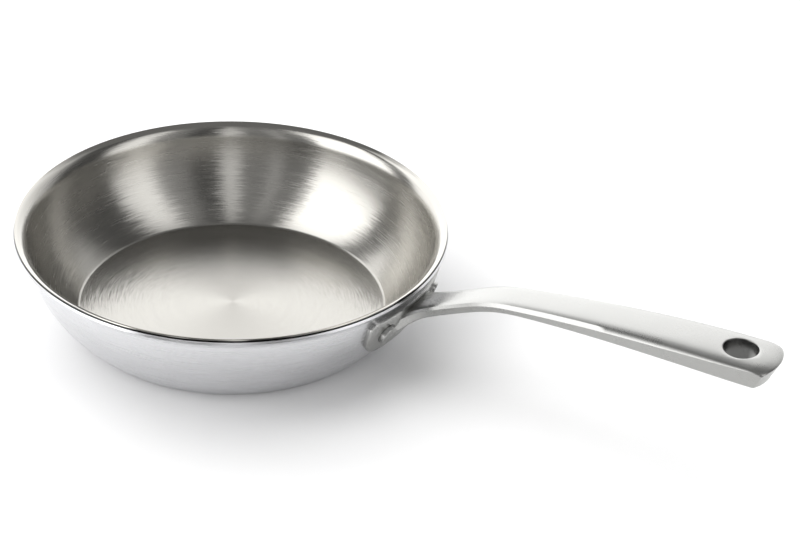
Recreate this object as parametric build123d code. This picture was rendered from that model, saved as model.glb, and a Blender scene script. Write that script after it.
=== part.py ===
from build123d import *
from math import acos, asin, cos, degrees, radians, sin, tan
import os

# An omelette pan: a round pan of three bonded metal layers with curved sides and a pouring lip,
# and a cast stainless handle held by two rivets.
# Lengths are in millimetres, angles in degrees. The origin is the centre of the base's underside,
# +Z is up and the handle points along +X.

# Driving dimensions of the pan body
lip_radius = 126.0
pan_height = 58.5
cooking_layer = 0.5
core_layer = 1.5
outer_layer = 0.6
corner_radius = 5.0
side_radius = 86.0
flare_radius = 8.0
side_start_slope = 42.0
wall_slope = 79.0
lip_slope = 17.0

# Driving dimensions of the handle's flange, the plate that hugs the wall
flange_thickness = 3.2
flange_width = 90.0
flange_height = 27.5
flange_gap_below_flare = 0.8
flange_top_corner = 5.0
flange_bottom_corner = 18.0
flange_edge_round = 1.1

# Driving dimensions of the handle's blade
handle_reach = 332.4
handle_end_height = 78.6
root_drop = 6.0
root_slope = 24.5
neck_run = 38.0
bend_radius = 95.0
bend_exit_slope = 8.5
under_exit_slope = 4.5
waist_thickness = 6.8
end_thickness = 14.6
root_half_width = 11.4
waist_half_width = 10.6
bend_half_width = 12.1
middle_half_width = 15.0
grip_half_width = 16.7
tip_half_width = 14.2
side_draft = 12.0
end_draft = 18.0
end_bulge = 4.8
end_corner_half_width = 15.7
end_corner_radius = 2.5
crown_radius = 150.0
top_bevel = 1.5
under_round = 1.6
hole_radius = 9.3
hole_to_end = 21.9
hole_bevel = 0.6

# Places along the blade where its width is set: shares of the neck and of the long sweep after the bend
waist_share = 0.65
middle_share = 0.38
grip_share = 0.68

# Driving dimensions of the neck, where the blade spreads into the flange
neck_flare = 13.0
neck_base_half_width = 20.5
neck_foot_margin = 3.5
neck_root_depth = 24.0

# Driving dimensions of the rivets
rivet_shank_radius = 3.0
rivet_clearance = 0.05
rivet_half_spacing = 26.5
rivet_drop = 12.6
outer_head_radius = 5.8
outer_head_height = 2.6
outer_head_bevel = 0.5
inner_head_radius = 5.5
inner_head_height = 1.3
inner_head_bevel = 0.7

# Overruns: how far a cutting solid reaches past what it cuts
overrun = 20.0

# Sizes worked out from those above
sheet = cooking_layer + core_layer + outer_layer


def point_at(centre, radius, slope):
    """The point of an arc about centre where a curve that climbs outwards has this slope."""
    return (centre[0] + radius * sin(radians(slope)), centre[1] - radius * cos(radians(slope)))


flare_start_height = (
    pan_height
    + flare_radius * cos(radians(wall_slope))
    - (flare_radius + sheet) * cos(radians(lip_slope))
)
flare_start_radius = lip_radius - flare_radius * (sin(radians(wall_slope)) - sin(radians(lip_slope)))
side_top_height = corner_radius * (1 - cos(radians(side_start_slope))) + side_radius * (
    cos(radians(side_start_slope)) - cos(radians(wall_slope))
)
wall_straight = (flare_start_height - side_top_height) / sin(radians(wall_slope))
base_radius = (
    flare_start_radius
    - wall_straight * cos(radians(wall_slope))
    - side_radius * (sin(radians(wall_slope)) - sin(radians(side_start_slope)))
    - corner_radius * sin(radians(side_start_slope))
)
corner_centre = (base_radius, corner_radius)
side_centre = point_at(corner_centre, corner_radius - side_radius, side_start_slope)
flare_start = (flare_start_radius, flare_start_height)
flare_centre = point_at(flare_start, flare_radius, wall_slope)
flange_top = flare_start_height - flange_gap_below_flare
rivet_height = flange_top - rivet_drop


def arc_between(centre, radius, slope_a, slope_b):
    """An arc about centre from one slope to another."""
    middle = (slope_a + slope_b) / 2
    return ThreePointArc(
        point_at(centre, radius, slope_a),
        point_at(centre, radius, middle),
        point_at(centre, radius, slope_b),
    )


def skin_curve(depth):
    """The pan's section from the axis to the foot of the flare, at this depth inside the outer skin."""
    corner = arc_between(corner_centre, corner_radius - depth, 0, side_start_slope)
    side = arc_between(side_centre, side_radius - depth, side_start_slope, wall_slope)
    return [Line((0, depth), corner @ 0), corner, side]


def flare_curve(depth):
    """The lip's section, which turns outwards about a centre outside the wall."""
    return arc_between(flare_centre, -(flare_radius + depth), wall_slope, lip_slope)


def spun(edges):
    """The solid swept by a closed outline, drawn as radius and height, about the pan's axis."""
    return revolve(make_face(Plane.XZ * Curve(children=edges)), axis=Axis.Z)


def make_layer(outer_depth, inner_depth):
    """One bonded layer of the sheet, from the base's centre to the cut edge of the lip."""
    out_skin, in_skin = skin_curve(outer_depth), skin_curve(inner_depth)
    out_lip, in_lip = flare_curve(outer_depth), flare_curve(inner_depth)
    edges = (
        out_skin
        + [Line(out_skin[-1] @ 1, out_lip @ 0), out_lip, Line(out_lip @ 1, in_lip @ 1)]
        + [in_lip, Line(in_lip @ 0, in_skin[-1] @ 1)]
        + in_skin
        + [Line(in_skin[0] @ 0, out_skin[0] @ 0)]
    )
    return spun(edges)


def make_core_form(depth):
    """A solid plug as large as the pan at this depth, with the wall carried on straight to the top."""
    skin = skin_curve(depth)
    wall_foot = skin[-1] @ 1
    climb = pan_height - wall_foot.Y
    wall_head = (wall_foot.X + climb * cos(radians(wall_slope)) / sin(radians(wall_slope)), pan_height)
    edges = skin + [
        Line(wall_foot, wall_head),
        Line(wall_head, (0, pan_height)),
        Line((0, pan_height), skin[0] @ 0),
    ]
    return spun(edges)


def side_slope_at(height):
    """The wall's slope at a height on the long curve of the side."""
    return degrees(acos((side_centre[1] - height) / side_radius))


def wall_plane(height, across, depth):
    """A plane on the wall at a height and a sideways distance, facing squarely outwards."""
    slope = side_slope_at(height)
    radius, level = point_at(side_centre, side_radius - depth, slope)
    turn = asin(across / radius)
    outward = (sin(radians(slope)) * cos(turn), sin(radians(slope)) * sin(turn), -cos(radians(slope)))
    place = (radius * cos(turn), radius * sin(turn), level)
    return Plane(origin=place, x_dir=(-sin(turn), cos(turn), 0), z_dir=outward)


def rivet_plane(side):
    """The rivet's plane on the flange's outer face; side is +1 or -1."""
    return wall_plane(rivet_height, side * rivet_half_spacing, -flange_thickness)


def rivet_hole(side):
    """A hole square to the wall for one rivet, long enough for the flange and the sheet."""
    reach = 2 * (sheet + flange_thickness + outer_head_height)
    return rivet_plane(side) * Cylinder(rivet_shank_radius + rivet_clearance, reach)


def head_disc(radius, height, bevel):
    """A flat rivet head standing on the plane, its far edge bevelled."""
    disc = extrude(Circle(radius), height)
    return chamfer(disc.edges().filter_by(GeomType.CIRCLE).sort_by(Axis.Z)[-1], bevel)


def make_rivet(side):
    """A rivet: shank, flat outer head on the flange and low head inside the pan."""
    outer = rivet_plane(side)
    grip = flange_thickness + sheet
    seat = outer_head_bevel
    outer_head = Pos(0, 0, -seat) * head_disc(outer_head_radius, outer_head_height + seat, outer_head_bevel)
    outer_head = outer * outer_head - make_core_form(-flange_thickness)
    inner_disc = Pos(0, 0, -seat) * head_disc(inner_head_radius, inner_head_height + seat, inner_head_bevel)
    inner_head = outer * (Pos(0, 0, -grip) * Rot(X=180) * inner_disc) & make_core_form(sheet)
    shank_length = grip + (outer_head_height + inner_head_height) / 2
    shank_start = -grip - inner_head_height / 2
    shank = outer * (Pos(0, 0, shank_start) * extrude(Circle(rivet_shank_radius), shank_length))
    return outer_head + inner_head + shank


def make_flange():
    """The curved plate on the wall, cut to a shield outline with its outer edges rounded."""
    plate = make_core_form(-flange_thickness) - make_core_form(0)
    outline = Rectangle(flange_width, flange_height)
    upper = outline.vertices().group_by(Axis.Y)[-1]
    outline = fillet(upper, flange_top_corner)
    lower = outline.vertices().group_by(Axis.Y)[0]
    corners = [v for v in outline.vertices() if abs(v.Y - lower[0].Y) < flange_top_corner / 2]
    outline = fillet(corners, flange_bottom_corner)
    front = Plane(origin=(0, 0, flange_top - flange_height / 2), x_dir=(0, 1, 0), z_dir=(1, 0, 0))
    shield = front * extrude(outline, lip_radius + overrun)
    plate = plate & shield
    outer_face = plate.faces().sort_by(Axis.X)[-1]
    return fillet(outer_face.edges(), flange_edge_round)


root_x = point_at(side_centre, side_radius + flange_thickness, side_slope_at(rivet_height))[0]
root_z = flange_top - root_drop
hole_x = handle_reach - hole_to_end


def bend_path(drop, start_run, exit_slope, end_height):
    """A line of the handle's side view at this drop under the top: neck, bend and long sweep.

    It starts at start_run along the neck from the flange's face, which may be behind the face."""
    along = (cos(radians(root_slope)), sin(radians(root_slope)))
    face = (root_x + drop * along[1], root_z - drop * along[0])
    foot_run = neck_run / along[0]
    start = (face[0] + start_run * along[0], face[1] + start_run * along[1])
    foot = (face[0] + foot_run * along[0], face[1] + foot_run * along[1])
    radius = bend_radius - drop
    centre = (foot[0] + radius * along[1], foot[1] - radius * along[0])

    def on_bend(slope):
        return (centre[0] - radius * sin(radians(slope)), centre[1] + radius * cos(radians(slope)))

    neck = Line(start, foot)
    bend = ThreePointArc(foot, on_bend((root_slope + exit_slope) / 2), on_bend(exit_slope))
    long_sweep = TangentArc(
        bend @ 1,
        (handle_reach + overrun, end_height),
        tangent=(cos(radians(exit_slope)), sin(radians(exit_slope))),
    )
    return [neck, bend, long_sweep]


def make_crowned_bar():
    """A wide bar that follows the handle's top, with the gentle crown across it."""
    path = bend_path(0, -neck_root_depth, bend_exit_slope, handle_end_height)
    half = grip_half_width + overrun
    edge_drop = half**2 / (2 * crown_radius)
    start = path[0] @ 0
    heading = path[0] % 0
    section = Plane(origin=(start.X, 0, start.Y), x_dir=(0, 1, 0), z_dir=(heading.X, 0, heading.Y))
    outline = [
        ThreePointArc((-half, -edge_drop), (0, 0), (half, -edge_drop)),
        Line((half, -edge_drop), (half, -overrun)),
        Line((half, -overrun), (-half, -overrun)),
        Line((-half, -overrun), (-half, -edge_drop)),
    ]
    return sweep(section * make_face(Curve(children=outline)), path=Plane.XZ * Wire(path))


def make_underside_form():
    """All the space above the handle's underside, which spreads down the wall at the neck."""
    path = bend_path(waist_thickness, neck_flare, under_exit_slope, handle_end_height - end_thickness)
    start, finish = path[0] @ 0, path[-1] @ 1
    heading = path[0] % 0
    low = flange_top - flange_height + neck_foot_margin
    foot = (point_at(side_centre, side_radius + flange_thickness / 2, side_slope_at(low))[0], low)
    spread = TangentArc(start, foot, tangent=(-heading.X, -heading.Y))
    ceiling = handle_end_height + overrun
    back = root_x - overrun
    border = [
        Line(finish, (finish.X, ceiling)),
        Line((finish.X, ceiling), (back, ceiling)),
        Line((back, ceiling), (back, low)),
        Line((back, low), foot),
    ]
    form = make_face(Plane.XZ * Curve(children=path + [spread] + border))
    return extrude(form, lip_radius, both=True)


def drafted(place, half_width):
    """A plan point at the top line's end height for a side that leans in downwards.

    The side passes the height of place, a point of the side view, at half_width."""
    return (place.X, half_width + (handle_end_height - place.Y) * tan(radians(side_draft)))


def make_side_form(side):
    """All the space inside one leaning side of the handle; side is +1 or -1."""
    neck, bend, long_sweep = bend_path(0, neck_flare, bend_exit_slope, handle_end_height)
    side_edge = Spline(
        drafted(neck @ 0, root_half_width),
        drafted(neck @ waist_share, waist_half_width),
        drafted(bend @ 1, bend_half_width),
        drafted(long_sweep @ middle_share, middle_half_width),
        drafted(long_sweep @ grip_share, grip_half_width),
        drafted(long_sweep @ 1, tip_half_width),
    )
    heading = side_edge % 0
    behind_face = bend_path(0, -flange_thickness, bend_exit_slope, handle_end_height)[0] @ 0
    base = drafted(behind_face, neck_base_half_width)
    spread = TangentArc(side_edge @ 0, base, tangent=(-heading.X, -heading.Y))
    tip = side_edge @ 1
    back, width = root_x - overrun, lip_radius
    border = [
        Line(base, (back, base[1])),
        Line((back, base[1]), (back, -width)),
        Line((back, -width), (tip.X, -width)),
        Line((tip.X, -width), tip),
    ]
    plan = make_face(Curve(children=[side_edge, spread] + border))
    lean = (0, tan(radians(side_draft)), 1)
    form = extrude(Pos(0, 0, handle_end_height) * plan, handle_end_height, dir=lean, both=True)
    return form if side > 0 else mirror(form, Plane.XZ)


def make_end_form():
    """All the space inside the handle's bulging end, which leans in downwards."""
    bulge_radius = (end_corner_half_width**2 + end_bulge**2) / (2 * end_bulge)
    half = end_corner_half_width + end_bulge
    shoulder_x = handle_reach - bulge_radius + (bulge_radius**2 - half**2) ** 0.5
    width = lip_radius
    outline = [
        ThreePointArc((shoulder_x, half), (handle_reach, 0), (shoulder_x, -half)),
        Line((shoulder_x, -half), (shoulder_x, -width)),
        Line((shoulder_x, -width), (0, -width)),
        Line((0, -width), (0, width)),
        Line((0, width), (shoulder_x, width)),
        Line((shoulder_x, width), (shoulder_x, half)),
    ]
    lean = (tan(radians(end_draft)), 0, 1)
    plan = Pos(0, 0, handle_end_height) * make_face(Curve(children=outline))
    return extrude(plan, handle_end_height, dir=lean, both=True)


def border_edges(faces):
    """The edges round the outside of some neighbouring faces, out in front of the wall."""
    edges = [edge for face in faces for edge in face.edges()]
    single = [edge for edge in edges if edges.count(edge) == 1]
    return [edge for edge in single if (edge @ 0.5).X > root_x]


def make_arm():
    """The blade and its neck: what the top, underside, side and end forms have in common."""
    arm = make_crowned_bar() & make_underside_form() & make_side_form(1) & make_side_form(-1)
    arm = arm & make_end_form()
    corners = [e for e in arm.edges().filter_by_position(Axis.X, hole_x, handle_reach) if is_upright(e)]
    arm = fillet(corners, end_corner_radius)
    tilt_limit = cos(radians(2 * root_slope))
    arm = chamfer(border_edges([f for f in arm.faces() if f.normal_at().Z > tilt_limit]), top_bevel)
    arm = fillet(border_edges([f for f in arm.faces() if f.normal_at().Z < -tilt_limit]), under_round)
    return arm


def is_upright(edge):
    """Whether an edge climbs by at least the waist's thickness."""
    return abs((edge @ 1).Z - (edge @ 0).Z) > waist_thickness


def drill_hanging_hole(arm):
    """Cut the round hanging hole near the end and bevel its two rims."""
    hole = Pos(hole_x, 0, 0) * Cylinder(hole_radius, 2 * (handle_end_height + overrun))
    arm = arm - hole
    wall = arm.faces().filter_by(GeomType.CYLINDER).sort_by_distance((hole_x, 0, handle_end_height))[0]
    rims = [edge for edge in wall.edges() if edge.length > 2 * hole_radius]
    return chamfer(rims, hole_bevel)


def make_handle():
    """The whole casting: flange, neck and blade in one piece, drilled for rivets and for hanging."""
    arm = drill_hanging_hole(make_arm())
    handle = arm - make_core_form(-flange_thickness / 2) + make_flange()
    for side in (-1, 1):
        handle = handle - rivet_hole(side)
    return handle


os.makedirs("parts", exist_ok=True)

holes = [rivet_hole(-1), rivet_hole(1)]
outer_skin = make_layer(0, outer_layer)
core = make_layer(outer_layer, outer_layer + core_layer)
cooking = make_layer(outer_layer + core_layer, sheet)
parts = {
    "outer_steel_layer": outer_skin - holes[0] - holes[1],
    "aluminium_core": core - holes[0] - holes[1],
    "cooking_surface_layer": cooking - holes[0] - holes[1],
    "handle": make_handle(),
    "rivet_left": make_rivet(1),
    "rivet_right": make_rivet(-1),
}
for name, solid in parts.items():
    solid.label = name
    export_step(solid, "parts/" + name + ".step")
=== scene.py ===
from math import acos, asin, atan2, cos, pi, radians, sin, tan

import bmesh
import bpy
from bpy.props import FloatProperty, FloatVectorProperty, IntProperty, PointerProperty
from mathutils import Matrix, Vector


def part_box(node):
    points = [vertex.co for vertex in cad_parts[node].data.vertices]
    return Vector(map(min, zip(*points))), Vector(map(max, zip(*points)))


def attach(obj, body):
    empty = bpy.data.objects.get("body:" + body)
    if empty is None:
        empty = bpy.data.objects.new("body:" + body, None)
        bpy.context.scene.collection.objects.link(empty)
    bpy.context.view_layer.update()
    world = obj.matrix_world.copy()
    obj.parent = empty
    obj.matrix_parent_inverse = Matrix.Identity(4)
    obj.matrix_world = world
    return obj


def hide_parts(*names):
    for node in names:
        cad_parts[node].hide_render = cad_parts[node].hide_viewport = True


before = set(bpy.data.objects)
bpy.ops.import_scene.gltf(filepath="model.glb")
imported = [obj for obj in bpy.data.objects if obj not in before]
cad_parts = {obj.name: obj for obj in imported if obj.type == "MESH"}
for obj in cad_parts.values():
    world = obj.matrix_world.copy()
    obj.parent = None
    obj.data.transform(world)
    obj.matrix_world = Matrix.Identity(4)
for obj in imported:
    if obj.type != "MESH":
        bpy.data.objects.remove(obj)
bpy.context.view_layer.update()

bl_info = {
    "name": "Omelette pan",
    "version": (1, 0, 0),
    "blender": (4, 5, 0),
    "location": "3D View > Sidebar > Omelette Pan",
    "description": "Builds a clad steel omelette pan with a riveted cast handle, and a pale studio",
    "category": "Add Mesh",
}

MM = 0.001

# Points within CLOSE of a place stand on it, and within MERGE_REACH of each other they are merged. Edges within
# RIM_REACH of the lip's circle are rounded.
CLOSE = 0.01 * MM
MERGE_REACH = 0.002 * MM
RIM_REACH = 0.05 * MM

LIP_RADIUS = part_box("outer_steel_layer")[1].y
PAN_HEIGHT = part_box("cooking_surface_layer")[1].z
HANDLE_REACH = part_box("handle")[1].x


def linear(code):
    """An sRGB hex colour as linear red, green and blue."""
    levels = [int(code[i : i + 2], 16) / 255 for i in (1, 3, 5)]
    return tuple(v / 12.92 if v <= 0.04045 else ((v + 0.055) / 1.055) ** 2.4 for v in levels)


def length(name, description, default_mm):
    """A size property in metres, given here in millimetres."""
    return FloatProperty(name=name, description=description, default=default_mm * MM, min=0, unit="LENGTH")


def slope(name, description, default_degrees):
    """An angle property, given here in degrees."""
    return FloatProperty(name=name, description=description, default=radians(default_degrees), subtype="ANGLE")


def colour(name, description, code):
    """A colour property, given as an sRGB hex value."""
    return FloatVectorProperty(
        name=name, description=description, default=linear(code), subtype="COLOR", size=3
    )


class PanSizes(bpy.types.PropertyGroup):
    """Sizes of the clad sheet body."""

    lip_radius: length("Lip radius", "Radius of the lip's cut edge", LIP_RADIUS / MM)
    height: length("Height", "Height of the lip's upper edge", PAN_HEIGHT / MM)
    corner: length("Base corner", "Outside radius between the flat base and the side", 5.0)
    side: length("Side radius", "Outside radius of the long curve of the side", 86.0)
    flare: length("Flare radius", "Outside radius of the turn into the lip", 8.0)
    side_start: slope("Side start", "Slope where the side leaves the base corner", 42.0)
    wall: slope("Wall slope", "Slope of the wall below the flare", 79.0)
    lip: slope("Lip slope", "Slope of the lip at its cut edge", 17.0)
    outer_steel: length("Outer steel", "Thickness of the outer steel layer", 0.6)
    core: length("Core", "Thickness of the aluminium core", 1.5)
    cooking_steel: length("Cooking steel", "Thickness of the cooking surface layer", 0.5)
    edge_round: length("Edge round", "Rounding of the lip's two cut corners", 0.25)
    segments: IntProperty(name="Segments", description="Steps round the pan", default=256, min=32)


class HandleSizes(bpy.types.PropertyGroup):
    """Sizes of the cast handle."""

    reach: length("Reach", "Distance from the pan's axis to the handle's end", HANDLE_REACH / MM)
    end_height: length("End height", "Height that the top line runs out to past the end", 78.6)
    root_drop: length("Root drop", "Drop from the flange's top to where the top line meets it", 5.0)
    root_slope: slope("Root slope", "Slope of the neck", 24.5)
    neck_run: length("Neck run", "Level length of the straight neck", 38.0)
    bend: length("Bend radius", "Radius of the gooseneck bend", 95.0)
    bend_exit: slope("Bend exit", "Slope where the blade leaves the bend", 8.5)
    side_draft: slope("Side draft", "How far the sides lean in downwards", 12.0)
    end_draft: slope("End draft", "How far the end leans in downwards", 18.0)
    end_bulge: length("End bulge", "How far the end's middle stands beyond its corners", 4.8)
    end_corner: length("End corner", "Corner radius at the handle's end", 2.2)
    crown: length("Crown radius", "Radius of the gentle crown across the top", 150.0)
    edge_roll: length("Edge roll", "Extra drop of the top where it rolls over to its edges", 0.5)
    top_bevel: length("Top bevel", "Width of the bevel along the middle of the top edges", 1.9)
    under_round: length("Under round", "Rounding of the lower edges", 1.6)
    hole: length("Hole radius", "Radius of the hanging hole", 9.3)
    hole_to_end: length("Hole to end", "Distance from the hole's centre to the handle's end", 21.9)
    hole_bevel: length("Hole bevel", "Bevel of the hanging hole's rims", 0.6)


class FlangeSizes(bpy.types.PropertyGroup):
    """Sizes of the flange, the plate that hugs the wall, and of its two rivets."""

    thickness: length("Thickness", "Thickness of the flange", 3.2)
    width: length("Width", "Width of the flange", 82.0)
    height: length("Height", "Height of the flange", 25.5)
    below_flare: length("Below flare", "Gap from the flare down to the flange's top", 1.8)
    top_corner: length("Top corner", "Radius of the upper corners", 5.0)
    bottom_corner: length("Bottom corner", "Radius of the lower corners", 18.0)
    edge_round: length("Edge round", "Rounding of the outer edges", 1.1)
    rivet_spacing: length("Rivet spacing", "Sideways distance of each rivet from the handle's line", 26.5)
    rivet_drop: length("Rivet drop", "Drop from the flange's top to the rivets", 11.6)
    outer_head: length("Outer head", "Radius of a rivet's head on the flange", 5.8)
    outer_height: length("Outer height", "Height of a rivet's head on the flange", 3.1)
    inner_head: length("Inner head", "Radius of a rivet's head inside the pan", 5.5)
    inner_height: length("Inner height", "Height of a rivet's head inside the pan", 1.3)
    shank: length("Shank", "Radius of a rivet's shank", 3.0)


class Finishes(bpy.types.PropertyGroup):
    """Colours of the metals and of the table."""

    cooking: colour("Cooking steel", "Ring brushed stainless steel", "#B9B7B2")
    outer: colour("Outer steel", "Satin stainless steel", "#BFBEBE")
    cast: colour("Cast steel", "Fine ground stainless casting", "#AEAEAC")
    core: colour("Core", "Cut edge of the aluminium core", "#DCDCDE")
    table: colour("Table", "White matt studio table", "#F4F4F4")


# Part 1: small helpers for the edit mode


def start_clean():
    """Leaves edit mode and deselects everything."""
    if bpy.context.mode != "OBJECT":
        bpy.ops.object.mode_set(mode="OBJECT")
    bpy.ops.object.select_all(action="DESELECT")


def only(obj):
    """Makes obj the one active and selected object."""
    start_clean()
    obj.hide_set(False)
    obj.select_set(True)
    bpy.context.view_layer.objects.active = obj


def edit(obj):
    """Enters edit mode on obj alone."""
    only(obj)
    bpy.ops.object.mode_set(mode="EDIT")


def pick(obj, kind, test):
    """In edit mode, selects the vertices, edges or faces that pass the test, and nothing else."""
    bpy.ops.mesh.select_mode(type=kind)
    bpy.ops.mesh.select_all(action="DESELECT")
    form = bmesh.from_edit_mesh(obj.data)
    for element in {"VERT": form.verts, "EDGE": form.edges, "FACE": form.faces}[kind]:
        if test(element):
            element.select_set(True)
    form.select_flush_mode()
    bmesh.update_edit_mesh(obj.data)


def extrude(offset):
    """Extrudes what is selected by this offset."""
    bpy.ops.mesh.extrude_region_move(TRANSFORM_OT_translate={"value": offset})


def resize(factors, centre):
    """Scales what is selected about a centre."""
    bpy.ops.transform.resize(value=factors, center_override=centre)


def finish_modifier(obj, kind, **settings):
    """Adds a modifier with these settings and applies it."""
    only(obj)
    modifier = obj.modifiers.new(kind.lower(), kind)
    for name, value in settings.items():
        setattr(modifier, name, value)
    bpy.ops.object.modifier_apply(modifier=modifier.name)


def tidy_normals(obj):
    """Merges doubles and turns every face outwards."""
    edit(obj)
    bpy.ops.mesh.select_all(action="SELECT")
    bpy.ops.mesh.remove_doubles(threshold=MERGE_REACH)
    bpy.ops.mesh.normals_make_consistent(inside=False)
    bpy.ops.object.mode_set(mode="OBJECT")


def smooth(obj, angle=30):
    """Shades obj smooth, with sharp edges above the angle, and puts its origin at the frame's."""
    only(obj)
    bpy.ops.object.transform_apply(location=True, rotation=True, scale=True)
    bpy.ops.object.shade_smooth_by_angle(angle=radians(angle))


def scrap(obj):
    """Removes a tool object that isn't part of the pan."""
    mesh = obj.data
    bpy.data.objects.remove(obj)
    if isinstance(mesh, bpy.types.Mesh):
        bpy.data.meshes.remove(mesh)


# Part 2: the section of the clad sheet


class Section:
    """The pan's section, worked out from the sizes, as radius and height at any depth in the sheet."""

    def __init__(self, sizes):
        self.sizes = sizes
        self.sheet = sizes.outer_steel + sizes.core + sizes.cooking_steel
        wall, lip, start = sizes.wall, sizes.lip, sizes.side_start
        flare_top = (sizes.flare + self.sheet) * cos(lip)
        flare_z = sizes.height + sizes.flare * cos(wall) - flare_top
        flare_r = sizes.lip_radius - sizes.flare * (sin(wall) - sin(lip))
        side_top = sizes.corner * (1 - cos(start)) + sizes.side * (cos(start) - cos(wall))
        run = (flare_z - side_top) / sin(wall) * cos(wall)
        self.base = flare_r - run - sizes.side * (sin(wall) - sin(start)) - sizes.corner * sin(start)
        self.flare_start = flare_z
        self.corner_centre = (self.base, sizes.corner)
        self.side_centre = self.at(self.corner_centre, sizes.corner - sizes.side, start)
        self.flare_centre = self.at((flare_r, flare_z), sizes.flare, wall)

    @staticmethod
    def at(centre, radius, angle):
        """The point of an arc where the section climbs at this angle."""
        return (centre[0] + radius * sin(angle), centre[1] - radius * cos(angle))

    def arc(self, centre, radius, start, end, steps):
        """Points of an arc from one slope to another."""
        return [self.at(centre, radius, start + (end - start) * i / steps) for i in range(steps + 1)]

    def below_flare(self, depth):
        """The flat base's edge, the corner and the side at a depth inside the outer skin."""
        s = self.sizes
        points = self.arc(self.corner_centre, s.corner - depth, 0, s.side_start, 8)
        return points + self.arc(self.side_centre, s.side - depth, s.side_start, s.wall, 26)[1:]

    def flare(self, depth):
        """The lip at a depth inside the outer skin."""
        s = self.sizes
        return self.arc(self.flare_centre, -(s.flare + depth), s.wall, s.lip, 14)

    def plane_at(self, height, across, depth):
        """Place and outward direction on the side, at a height and a sideways distance."""
        angle = acos((self.side_centre[1] - height) / self.sizes.side)
        radius, level = self.at(self.side_centre, self.sizes.side - depth, angle)
        turn = asin(across / radius)
        outward = Vector((sin(angle) * cos(turn), sin(angle) * sin(turn), -cos(angle)))
        return Vector((radius * cos(turn), radius * sin(turn), level)), outward


def turned(name, points, segments):
    """A round sheet drawn out of a disc: its border is extruded and scaled through the section's points."""
    start_clean()
    radius, height = points[0]
    bpy.ops.mesh.primitive_circle_add(vertices=segments, radius=radius, fill_type="TRIFAN")
    obj = bpy.context.object
    obj.name = obj.data.name = name
    edit(obj)
    bpy.ops.transform.translate(value=(0, 0, height))
    pick(obj, "EDGE", lambda e: e.is_boundary)
    for (r, z), (next_r, next_z) in zip(points, points[1:]):
        extrude((0, 0, next_z - z))
        resize((next_r / r, next_r / r, 1), (0, 0, next_z))
    bpy.ops.object.mode_set(mode="OBJECT")
    tidy_normals(obj)
    return obj


def round_edge(obj, radius, height, width):
    """Rounds the circular edge at this radius and height."""
    edit(obj)

    def on_circle(v):
        return abs(v.co.xy.length - radius) < RIM_REACH and abs(v.co.z - height) < RIM_REACH

    pick(obj, "EDGE", lambda e: on_circle(e.verts[0]) and on_circle(e.verts[1]))
    bpy.ops.mesh.bevel(offset=width, segments=2, affect="EDGES")
    bpy.ops.object.mode_set(mode="OBJECT")


def clad_layer(name, section, depth, thickness, segments):
    """One layer of the clad sheet, from the base's centre to the lip's cut edge.

    Known fault: the thickness goes outwards from the depth, where the sizes mean it to go inwards."""
    obj = turned(name, section.below_flare(depth) + section.flare(depth), segments)
    finish_modifier(obj, "SOLIDIFY", thickness=thickness, offset=-1, use_even_offset=True)
    return obj


# Part 3: the handle, its flange and the rivets

# The flat blank starts this far behind the flange's face, inside the wall
BLANK_START = 16 * MM

# How deep the flat blank is drawn at first, and a height that only its underside lies below
BLANK_DEPTH = 30 * MM
UNDERSIDE = -29 * MM

# How far the top line runs on past the handle's end
LINE_OVERRUN = 20 * MM

# Where the columns of the blank's top stand, as shares of its width inside the bevels, and where it rolls over
COLUMN_SHARES = (0.25, 0.5, 0.7, 0.82, 0.92, 1)
ROLL_START = 0.6

# The half width inside the bevels at which the edge roll has its stated drop
ROLL_HALF_WIDTH = 12 * MM

# The neck from inside the wall outwards: run from the flange's face, half width and thickness, in mm
NECK_STATIONS = (
    (-13, 20.5, 13.4), (-10, 20.5, 11.9), (-7, 20.5, 10.6), (-4, 20.5, 9.5), (-2, 18.7, 8.9),
    (0, 17.0, 8.35), (2, 15.5, 7.9), (4, 14.2, 7.55), (6.5, 12.95, 7.2), (9, 12.05, 6.95),
    (11.5, 11.55, 6.83),
)

# The blade from its neck to its end: distance from the pan's axis against half width and thickness, in mm
BLADE_PLACES = (
    133, 137, 141, 145, 149, 153, 157, 160, 163, 166, 169, 172, 175, 178, 181, 184, 188, 193, 198, 204, 210,
    216, 222, 228, 234, 240, 246, 252, 258, 264, 270, 276, 282, 288, 294, 300, 306, 312, 317.4, 320.4, 322.9,
    324.7, 326.1, 327.0, 327.6,
)
BLADE_WIDTHS = (
    (125, 13.29), (133, 11.28), (140, 10.8), (148, 10.6), (156, 10.75), (164, 11.14), (180, 11.96),
    (196, 12.63), (212, 13.34), (236, 14.46), (260, 15.59), (276, 16.22), (300, 16.71), (316, 16.55),
    (328, 16.0),
)
BLADE_DEPTHS = (
    (125, 6.8), (160, 6.83), (184, 6.8), (196, 7.35), (212, 8.32), (236, 9.69), (260, 10.93), (284, 12.05),
    (308, 13.06), (328, 13.8),
)

# The top bevel along the handle: distance from the pan's axis in mm, and share of the full width
BEVEL_SHARES = (
    (125, 0.7), (160, 0.8), (190, 1.0), (250, 1.0), (280, 0.82), (300, 0.62), (316, 0.45), (328, 0.12),
)

# The rows at the end: distance before the end in mm, share of the bulge, and drop of the top's roll in mm
END_ROWS = (
    (10.2, 0.0, 0.0), (7.2, 0.38, 0.02), (4.7, 0.68, 0.2), (2.9, 0.86, 0.55), (1.5, 0.96, 1.0),
    (0.6, 1.0, 1.45), (0, 1.0, 1.8),
)

# How far before the end the underside starts to draw in, how near to a lower corner the border's points are
# merged into it, and how far before the end the underside's cross edges are dissolved too
LEAN_REACH = 30 * MM
CORNER_REACH = 4.5 * MM
CROSS_REACH = 1.5 * CORNER_REACH

# Points of the underside this near to each other along the blank are one row
SAME_ROW = 0.0006 * MM

# A face whose normal is this upright is level
LEVEL = 0.9

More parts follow.
